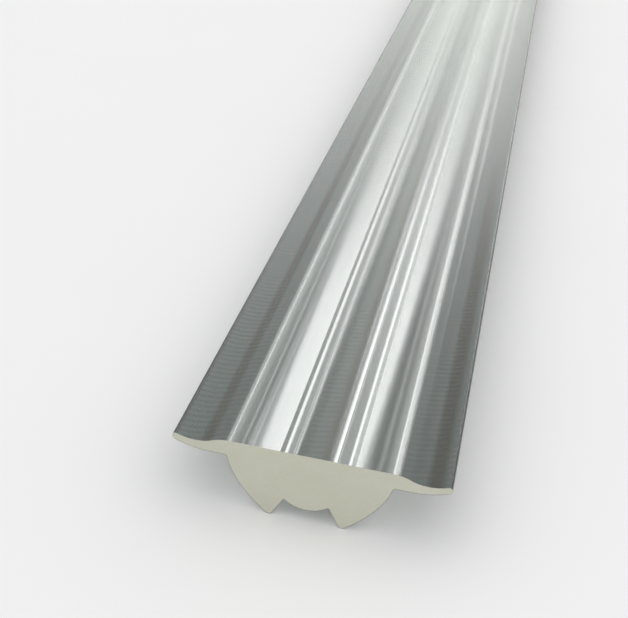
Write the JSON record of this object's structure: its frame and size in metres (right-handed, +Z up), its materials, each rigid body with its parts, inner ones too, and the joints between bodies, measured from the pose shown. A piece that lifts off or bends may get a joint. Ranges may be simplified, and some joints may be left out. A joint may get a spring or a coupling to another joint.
{
  "type": "plastic extrusion profile",
  "caption": "Clear acrylic lens profile for a row of LEDs, sawn square: flat exit face, thin curved mounting wings, curved side walls and a convex entry lens in a groove between narrow feet.",
  "frame": {"origin": "on the floor under the middle of the bar, between its feet", "axes": "+Y along the bar, away from the end that the picture shows, +Z up from the feet to the exit face, +X across the wings"},
  "size_m": [0.03, 0.5, 0.0088],
  "materials": {
    "clear_acrylic": "clear and glossy as extruded, with matt sawn ends"
  },
  "bodies": {
    "root": {"lens_profile": "clear_acrylic"}
  },
  "joints": []
}
